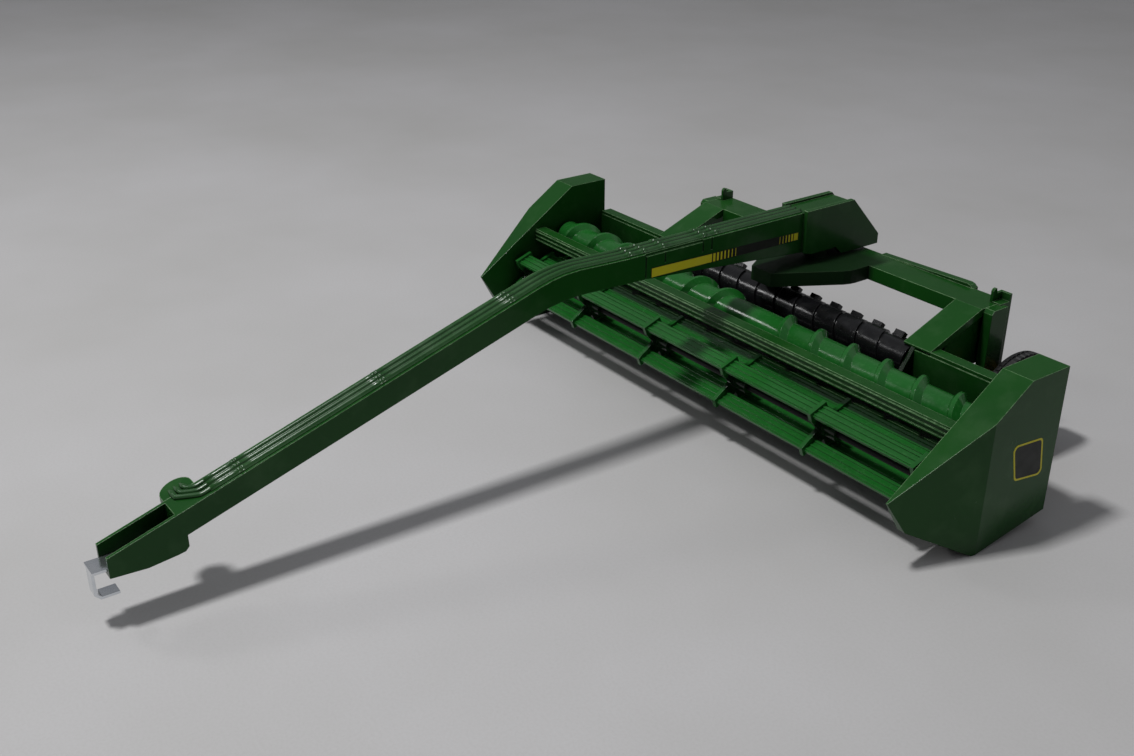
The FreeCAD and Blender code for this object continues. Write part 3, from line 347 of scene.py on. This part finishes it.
def printed_sheet(name, corners, across, up, is_yellow, body, lift):
    """A thin printed film on a flat side. corners: low-start, low-end, high-end, high-start, in mm.
    across and up are cut positions from 0 to 1; is_yellow(i, j) colours the cell between them."""
    low_start, low_end, high_end, high_start = [Vector(c) for c in corners]
    mesh = bmesh.new()

    def point(u, v, out):
        low = low_start.lerp(low_end, u)
        high = high_start.lerp(high_end, u)
        return mesh.verts.new((low.lerp(high, v) + Vector((out, 0, 0))) * MM)

    front = [[point(u, v, lift) for v in up] for u in across]
    back = [[point(u, v, 0.0) for v in up] for u in across]
    for i in range(len(across) - 1):
        for j in range(len(up) - 1):
            for grid in (front, back):
                near, far = grid[i], grid[i + 1]
                face = mesh.faces.new((near[j], far[j], far[j + 1], near[j + 1]))
                face.material_index = 0 if is_yellow(i, j) else 1
    rim = [(i, 0) for i in range(len(across))]
    rim += [(len(across) - 1, j) for j in range(1, len(up))]
    rim += [(i, len(up) - 1) for i in range(len(across) - 2, -1, -1)]
    rim += [(0, j) for j in range(len(up) - 2, 0, -1)]
    for (a, b), (c, e) in zip(rim, rim[1:] + rim[:1]):
        mesh.faces.new((front[a][b], front[c][e], back[c][e], back[a][b])).material_index = 1
    return make_piece(name, mesh, body, (YELLOW_INK, BLACK_INK))


def sweep(name, sections, body, looks):
    """Skin a row of equal-length point loops, in mm, and close both ends."""
    mesh = bmesh.new()
    rows = [[mesh.verts.new(Vector(p) * MM) for p in loop] for loop in sections]
    count = len(rows[0])
    for low, high in zip(rows, rows[1:]):
        for i in range(count):
            j = (i + 1) % count
            mesh.faces.new((low[i], low[j], high[j], high[i]))
    mesh.faces.new(rows[0])
    mesh.faces.new(rows[-1])
    piece = make_piece(name, mesh, body, looks)
    for face in piece.data.polygons:
        face.use_smooth = len(face.vertices) == 4
    return piece


# ---- hoses ----------------------------------------------------------------

HOSE_ROUTE = ((-145.15, 40.243), (-9.0, 83.5), (-3.0, 85.1), (3.0, 86.1), (10.0, 86.5),
              (22.0, 86.1), (33.0, 85.8), (132.25, 85.8))
HOSE_PITCH = 3.1
HOSE_R = 1.0
TONGUE_SLOPE = (83.5 - 35.9) / (-9.0 + 158.85)


def tongue_top(y):
    """Height of the tongue's top surface at y, in mm."""
    if y <= -9.0:
        return 83.5 + (y + 9.0) * TONGUE_SLOPE
    for (y0, z0), (y1, z1) in zip(HOSE_ROUTE, HOSE_ROUTE[1:]):
        if y <= y1:
            return z0 + (z1 - z0) * (y - y0) / (y1 - y0)
    return HOSE_ROUTE[-1][1]


def hose_section(y, grow):
    """Three round hoses side by side on a thin web, seen along the tongue."""
    base = tongue_top(y)
    loop = [(-4.6, y, base - 0.05), (-4.6, y, base + 0.42 + grow)]
    for centre in (-HOSE_PITCH, 0.0, HOSE_PITCH):
        for k in range(9):
            a = math.pi * (1 - k / 8)
            r = HOSE_R + grow
            height = base + 0.42 + grow * 0.4 + r * 1.02 * math.sin(a)
            loop.append((centre + r * math.cos(a), y, height))
    loop += [(4.6, y, base + 0.42 + grow), (4.6, y, base - 0.05)]
    return loop


def hose_run():
    """The three moulded hoses along the top of the tongue, pinched by short clips."""
    clips = [-133.6, -77.0, -20.4, 36.2, 43.25, 53.35, 75.25, 81.75]
    marks = {y for y, _ in HOSE_ROUTE}
    step = HOSE_ROUTE[0][0]
    while step < HOSE_ROUTE[-1][0]:
        marks.add(step)
        step += 4.0
    edges = {}
    for clip in clips:
        for offset, grow in ((-1.45, 0.0), (-1.1, 0.26), (-0.22, 0.28), (-0.12, 0.05), (0.12, 0.05),
                             (0.22, 0.28), (1.1, 0.26), (1.45, 0.0)):
            edges[round(clip + offset, 3)] = grow
    marks = {round(y, 3) for y in marks if all(abs(y - c) > 1.6 for c in clips)}
    places = sorted(marks | set(edges))
    piece = sweep("hose_run", [hose_section(y, edges.get(y, 0.0)) for y in places],
                  "tongue", (HOSE_ENAMEL,))
    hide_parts("hose_mouldings")


def hose_bends():
    """Where the three hoses leave the top of the tongue. Each comes down its own line, folds over
    at 45 degrees onto the round tab and runs out flat; the one furthest from the tab folds most,
    so the run-outs lie side by side."""
    start_y, shoulder_y, end_x = -145.0, -148.5, -10.9
    longest_fold, spacing = 6.6, 2.1
    turn, taper = 0.8, 4.0
    for number, lane in enumerate((HOSE_PITCH, 0.0, -HOSE_PITCH), start=1):
        fold = longest_fold - spacing * (number - 1)
        corner_x, corner_y = lane - fold, shoulder_y - fold
        route = ((lane, start_y), (lane, shoulder_y + turn), (lane - turn, shoulder_y - turn),
                 (corner_x + turn, corner_y + turn), (corner_x - turn, corner_y), (end_x, corner_y))
        points = smooth_path([(x, y, tongue_top(y)) for x, y in route], 8)
        sections = []
        last = len(points) - 1
        for i, point in enumerate(points):
            ahead = points[min(i + 1, last)] - points[max(i - 1, 0)]
            side = Vector((ahead.y, -ahead.x, 0)).normalized()
            tail = min(1.0, (points[last] - point).length / taper)
            r = 1.08 * (0.55 + 0.45 * tail)
            lift = 0.42 * tail - 0.3 * (1 - tail)
            rise = r * (0.55 + 0.3 * tail)
            foot = Vector((0, 0, -0.25))
            loop = [point - side * r + foot]
            for k in range(9):
                angle = math.pi * (1 - k / 8)
                up = Vector((0, 0, lift + rise * math.sin(angle)))
                loop.append(point + side * r * math.cos(angle) + up)
            loop.append(point + side * r + foot)
            sections.append(loop)
        sweep(f"hose_bend_{number}", sections, "tongue", (HOSE_ENAMEL,))


def smooth_path(points, steps):
    """Catmull-Rom curve through the points."""
    points = [Vector(p) for p in points]
    padded = [points[0] * 2 - points[1]] + points + [points[-1] * 2 - points[-2]]
    out = []
    for i in range(1, len(padded) - 2):
        a, b, c, d = padded[i - 1:i + 3]
        for k in range(steps):
            t = k / steps
            out.append(0.5 * (2 * b + (c - a) * t + (2 * a - 5 * b + 4 * c - d) * t * t
                              + (3 * b - a - 3 * c + d) * t ** 3))
    out.append(points[-1])
    return out


# ---- tyres and rims -------------------------------------------------------

def spun(name, side, profile, radius_at, steps, body, looks):
    """Closed profile of (across, radius) points, in mm, spun about the wheel's axle line.
    radius_at(angle index, point index, radius) may dent the surface for tread."""
    low, high = (Vector(v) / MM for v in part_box("tyre_" + side))
    middle = (low + high) / 2
    out = 1 if side == "left" else -1
    mesh = bmesh.new()
    rows = []
    for i in range(steps):
        angle = 2 * math.pi * i / steps
        row = []
        for j, (across, radius) in enumerate(profile):
            r = radius_at(i, j, radius)
            place = Vector((middle.x + out * across, middle.y + r * math.cos(angle),
                            middle.z + r * math.sin(angle)))
            row.append(mesh.verts.new(place * MM))
        rows.append(row)
    count = len(profile)
    for i in range(steps):
        here, ahead = rows[i], rows[(i + 1) % steps]
        for j in range(count):
            k = (j + 1) % count
            mesh.faces.new((here[j], here[k], ahead[k], ahead[j]))
    piece = make_piece(name, mesh, body, looks)
    for face in piece.data.polygons:
        face.use_smooth = True
    piece.data.set_sharp_from_angle(angle=math.radians(38))
    return piece


def tyres():
    """Implement tyres: moulded bead, bulged sidewall with a fine ring, and ribs cut by sipes."""
    half = 7.5
    wall = [(13.02, 0.55), (13.7, 0.2), (14.6, 0.12), (15.2, 0.35), (15.6, 0.35), (16.4, 0.0),
            (17.6, 0.0), (17.9, 0.28), (18.3, 0.28), (18.6, 0.0), (19.6, 0.12), (20.6, 0.62),
            (21.3, 1.25), (21.8, 1.9)]
    tread = [(5.0, 22.2), (3.9, 22.36), (3.75, 21.5), (3.05, 21.5), (2.9, 22.4), (0.6, 22.4),
             (0.45, 21.5), (-0.45, 21.5), (-0.6, 22.4), (-2.9, 22.4), (-3.05, 21.5), (-3.75, 21.5),
             (-3.9, 22.36), (-5.0, 22.2)]
    profile = [(half - inset, r) for r, inset in wall] + tread
    profile += [(-half + inset, r) for r, inset in wall[::-1]]
    first, last = len(wall), len(wall) + len(tread) - 1

    def radius_at(i, j, radius):
        if j in (first - 1, first, first + 1, last - 1, last, last + 1) and i % 5 == 0:
            return radius - 0.7
        shift = 2 if j > (first + last) / 2 else 0
        if first + 4 <= j <= last - 4 and radius > 22.0 and (i + shift) % 5 == 0:
            return radius - 0.45
        return radius

    for side in ("left", "right"):
        piece = spun("tyre_tread_" + side, side, profile, radius_at, 240, "wheel_" + side,
                     (LOOKS["tyre_rubber"],))
        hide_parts("tyre_" + side)


def rim_nuts():
    """Six moulded nuts on the outer face of each rim."""
    for side in ("left", "right"):
        low, high = (Vector(v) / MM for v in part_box("wheel_rim_" + side))
        middle = (low + high) / 2
        out = 1 if side == "left" else -1
        face = (high.x if out > 0 else low.x) - out * 5.0
        circle = 8.2
        mesh = bmesh.new()
        for k in range(6):
            turn = math.radians(60 * k + 30)
            centre = Vector((face, middle.y + circle * math.cos(turn),
                             middle.z + circle * math.sin(turn)))
            rings = []
            for depth, radius in ((-0.3, 1.15), (0.75, 1.15), (1.0, 0.9)):
                rings.append([mesh.verts.new((centre + Vector((out * depth, radius * math.cos(a),
                                                               radius * math.sin(a)))) * MM)
                              for a in (math.radians(60 * n) for n in range(6))])
            for a, b in zip(rings, rings[1:]):
                for n in range(6):
                    m = (n + 1) % 6
                    mesh.faces.new((a[n], a[m], b[m], b[n]))
            mesh.faces.new(rings[0])
            mesh.faces.new(rings[-1])
        make_piece("rim_nuts_" + side, mesh, "wheel_" + side,
                   (LOOKS["yellow_plastic"],))


def side_strip():
    """The long printed strip on the near side of the tongue: solid yellow, then bars that thin
    out into a dark band, then bars that grow again."""
    near_x = 5.9
    begin, end = 45.9, 129.6
    cells = [(0.35, False), (32.6, True)]
    for width in (1.3, 1.15, 1.0, 0.85, 0.7, 0.5, 0.35):
        cells += [(1.95 - width, False), (width, True)]
    tail = [(1.95 - w, w) for w in (0.3, 0.4, 0.55, 0.8, 1.1)] + [(0.5, 2.5)]
    used = sum(w for w, _ in cells) + sum(a + b for a, b in tail) + 0.3
    cells.append((end - begin - used, False))
    for gap, width in tail:
        cells += [(gap, False), (width, True)]
    cells.append((0.3, False))
    across = [0.0]
    for width, _ in cells:
        across.append(across[-1] + width / (end - begin))
    across[-1] = 1.0
    up = [0.0, 0.07, 0.93, 1.0]
    corners = ((near_x, begin, 74.9), (near_x, end, 73.8), (near_x, end, 77.6),
               (near_x, begin, 79.4))
    printed_sheet("tongue_side_strip", corners, across, up,
                  lambda i, j: j == 1 and cells[i][1], "tongue", 0.06)


def rounded_outline(corners, radius, steps=6):
    """Corner points of a polygon with each corner replaced by an arc, in its own plane."""
    out = []
    count = len(corners)
    for i in range(count):
        here = Vector(corners[i])
        before = (Vector(corners[i - 1]) - here).normalized()
        after = (Vector(corners[(i + 1) % count]) - here).normalized()
        half = before.angle(after) / 2
        centre = here + (before + after).normalized() * radius / math.sin(half)
        start = here + before * radius / math.tan(half) - centre
        stop = here + after * radius / math.tan(half) - centre
        for k in range(steps + 1):
            t = k / steps
            arm = start.lerp(stop, t)
            out.append(centre + arm.normalized() * radius)
    return out


def side_badge():
    """The bare badge on the near end shield: a dark field inside a thin yellow border."""
    face_x = 146.8
    corners = [(101.4, 42.0), (119.3, 40.3), (122.5, 23.6), (105.5, 26.1)]
    middle = sum((Vector(c) for c in corners), Vector((0, 0))) / 4
    mesh = bmesh.new()
    rings = []
    for scale, radius, out in ((1.0, 2.2, 0.0), (1.0, 2.2, 0.06), (0.90, 1.8, 0.06)):
        ring = rounded_outline([middle + (Vector(c) - middle) * scale for c in corners], radius)
        rings.append([mesh.verts.new(Vector((face_x + out, p.x, p.y)) * MM) for p in ring])
    count = len(rings[0])
    for low, high in ((0, 1), (1, 2)):
        for i in range(count):
            j = (i + 1) % count
            face = mesh.faces.new((rings[low][i], rings[low][j], rings[high][j], rings[high][i]))
            face.material_index = 0
    mesh.faces.new(rings[2]).material_index = 1
    mesh.faces.new(rings[0]).material_index = 1
    make_piece("shield_badge_blank", mesh, "header", (YELLOW_INK, BLACK_INK))


# ---- studio ---------------------------------------------------------------

def camera():
    data = bpy.data.cameras.new("view")
    data.lens = 40.71
    data.sensor_width = 36.0
    data.clip_start = 0.01
    data.clip_end = 20.0
    spot = bpy.data.objects.new("view", data)
    spot.location = (0.38246, -0.26652, 0.26793)
    spot.rotation_euler = Euler((math.radians(90 - 26.02), 0, math.radians(54.33)))
    bpy.context.scene.collection.objects.link(spot)
    bpy.context.scene.camera = spot


def floor():
    """A pale table top that sweeps up into a round backdrop, the same from every side."""
    g = Graph("table_cloth")
    weave = g.noise(900.0, 3.0, 0.6)
    cloud = g.noise(5.0, 4.0, 0.55)
    colour = g.mix(g.ramp(cloud, 0.3, 0.7), linear(176, 175, 174), linear(186, 185, 186))
    colour = g.mix(g.ramp(weave, 0.4, 0.7, 0.0, 0.2), colour, linear(164, 162, 160))
    normal = g.bump(g.noise(9.0, 3.0, 0.5), 2.5 * MM, 0.35)
    normal = g.bump(weave, 0.03 * MM, 0.5, normal)
    look = g.finish(colour, 0.75, normal, specular=0.25)
    profile = [(0.5, 0.0), (1.7, 0.0)]
    profile += [(1.7 + 0.6 * math.sin(a), 0.6 - 0.6 * math.cos(a))
                for a in (math.radians(10 * k) for k in range(1, 10))]
    profile += [(2.3, 1.3)]
    mesh = bmesh.new()
    turns = [math.radians(7.5 * k) for k in range(48)]
    rows = [[mesh.verts.new((reach * math.cos(a), reach * math.sin(a), height)) for a in turns]
            for reach, height in profile]
    mesh.faces.new(rows[0])
    mesh.faces.ensure_lookup_table()
    for low, high in zip(rows, rows[1:]):
        for i in range(48):
            j = (i + 1) % 48
            mesh.faces.new((high[i], high[j], low[j], low[i]))
    bmesh.ops.recalc_face_normals(mesh, faces=mesh.faces)
    mesh.faces.ensure_lookup_table()
    mesh.normal_update()
    if mesh.faces[0].normal.z < 0:
        bmesh.ops.reverse_faces(mesh, faces=mesh.faces)
    data = bpy.data.meshes.new("table")
    mesh.to_mesh(data)
    mesh.free()
    data.materials.append(look)
    for face in data.polygons:
        face.use_smooth = True
    table = bpy.data.objects.new("table", data)
    bpy.context.scene.collection.objects.link(table)


def lamp(name, spot, aim, size, watts, tint=(1, 1, 1)):
    data = bpy.data.lights.new(name, "AREA")
    data.shape = "SQUARE"
    data.size = size
    data.energy = watts
    data.color = tint
    light = bpy.data.objects.new(name, data)
    light.location = spot
    light.rotation_euler = (Vector(aim) - Vector(spot)).to_track_quat("-Z", "Y").to_euler()
    bpy.context.scene.collection.objects.link(light)


def studio():
    camera()
    floor()
    lamp("ceiling", (-0.10, -0.44, 1.25), (0, 0, 0), 0.15, 12.5)
    lamp("left_lamp", (-0.92, -0.67, 0.81), (0, 0, 0.03), 0.20, 1.6)
    lamp("rear_fill", (0.6, 1.3, 0.9), (0, 0, 0.03), 1.0, 0.9)
    world = bpy.data.worlds.new("room")
    world.use_nodes = True
    sky = world.node_tree.nodes["Background"]
    sky.inputs["Color"].default_value = (0.93, 0.95, 1.0, 1.0)
    sky.inputs["Strength"].default_value = 0.26
    bpy.context.scene.world = world
    bpy.context.scene.view_settings.view_transform = "Standard"


dress_nodes()
hose_run()
hose_bends()
tyres()
rim_nuts()
side_strip()
side_badge()
studio()
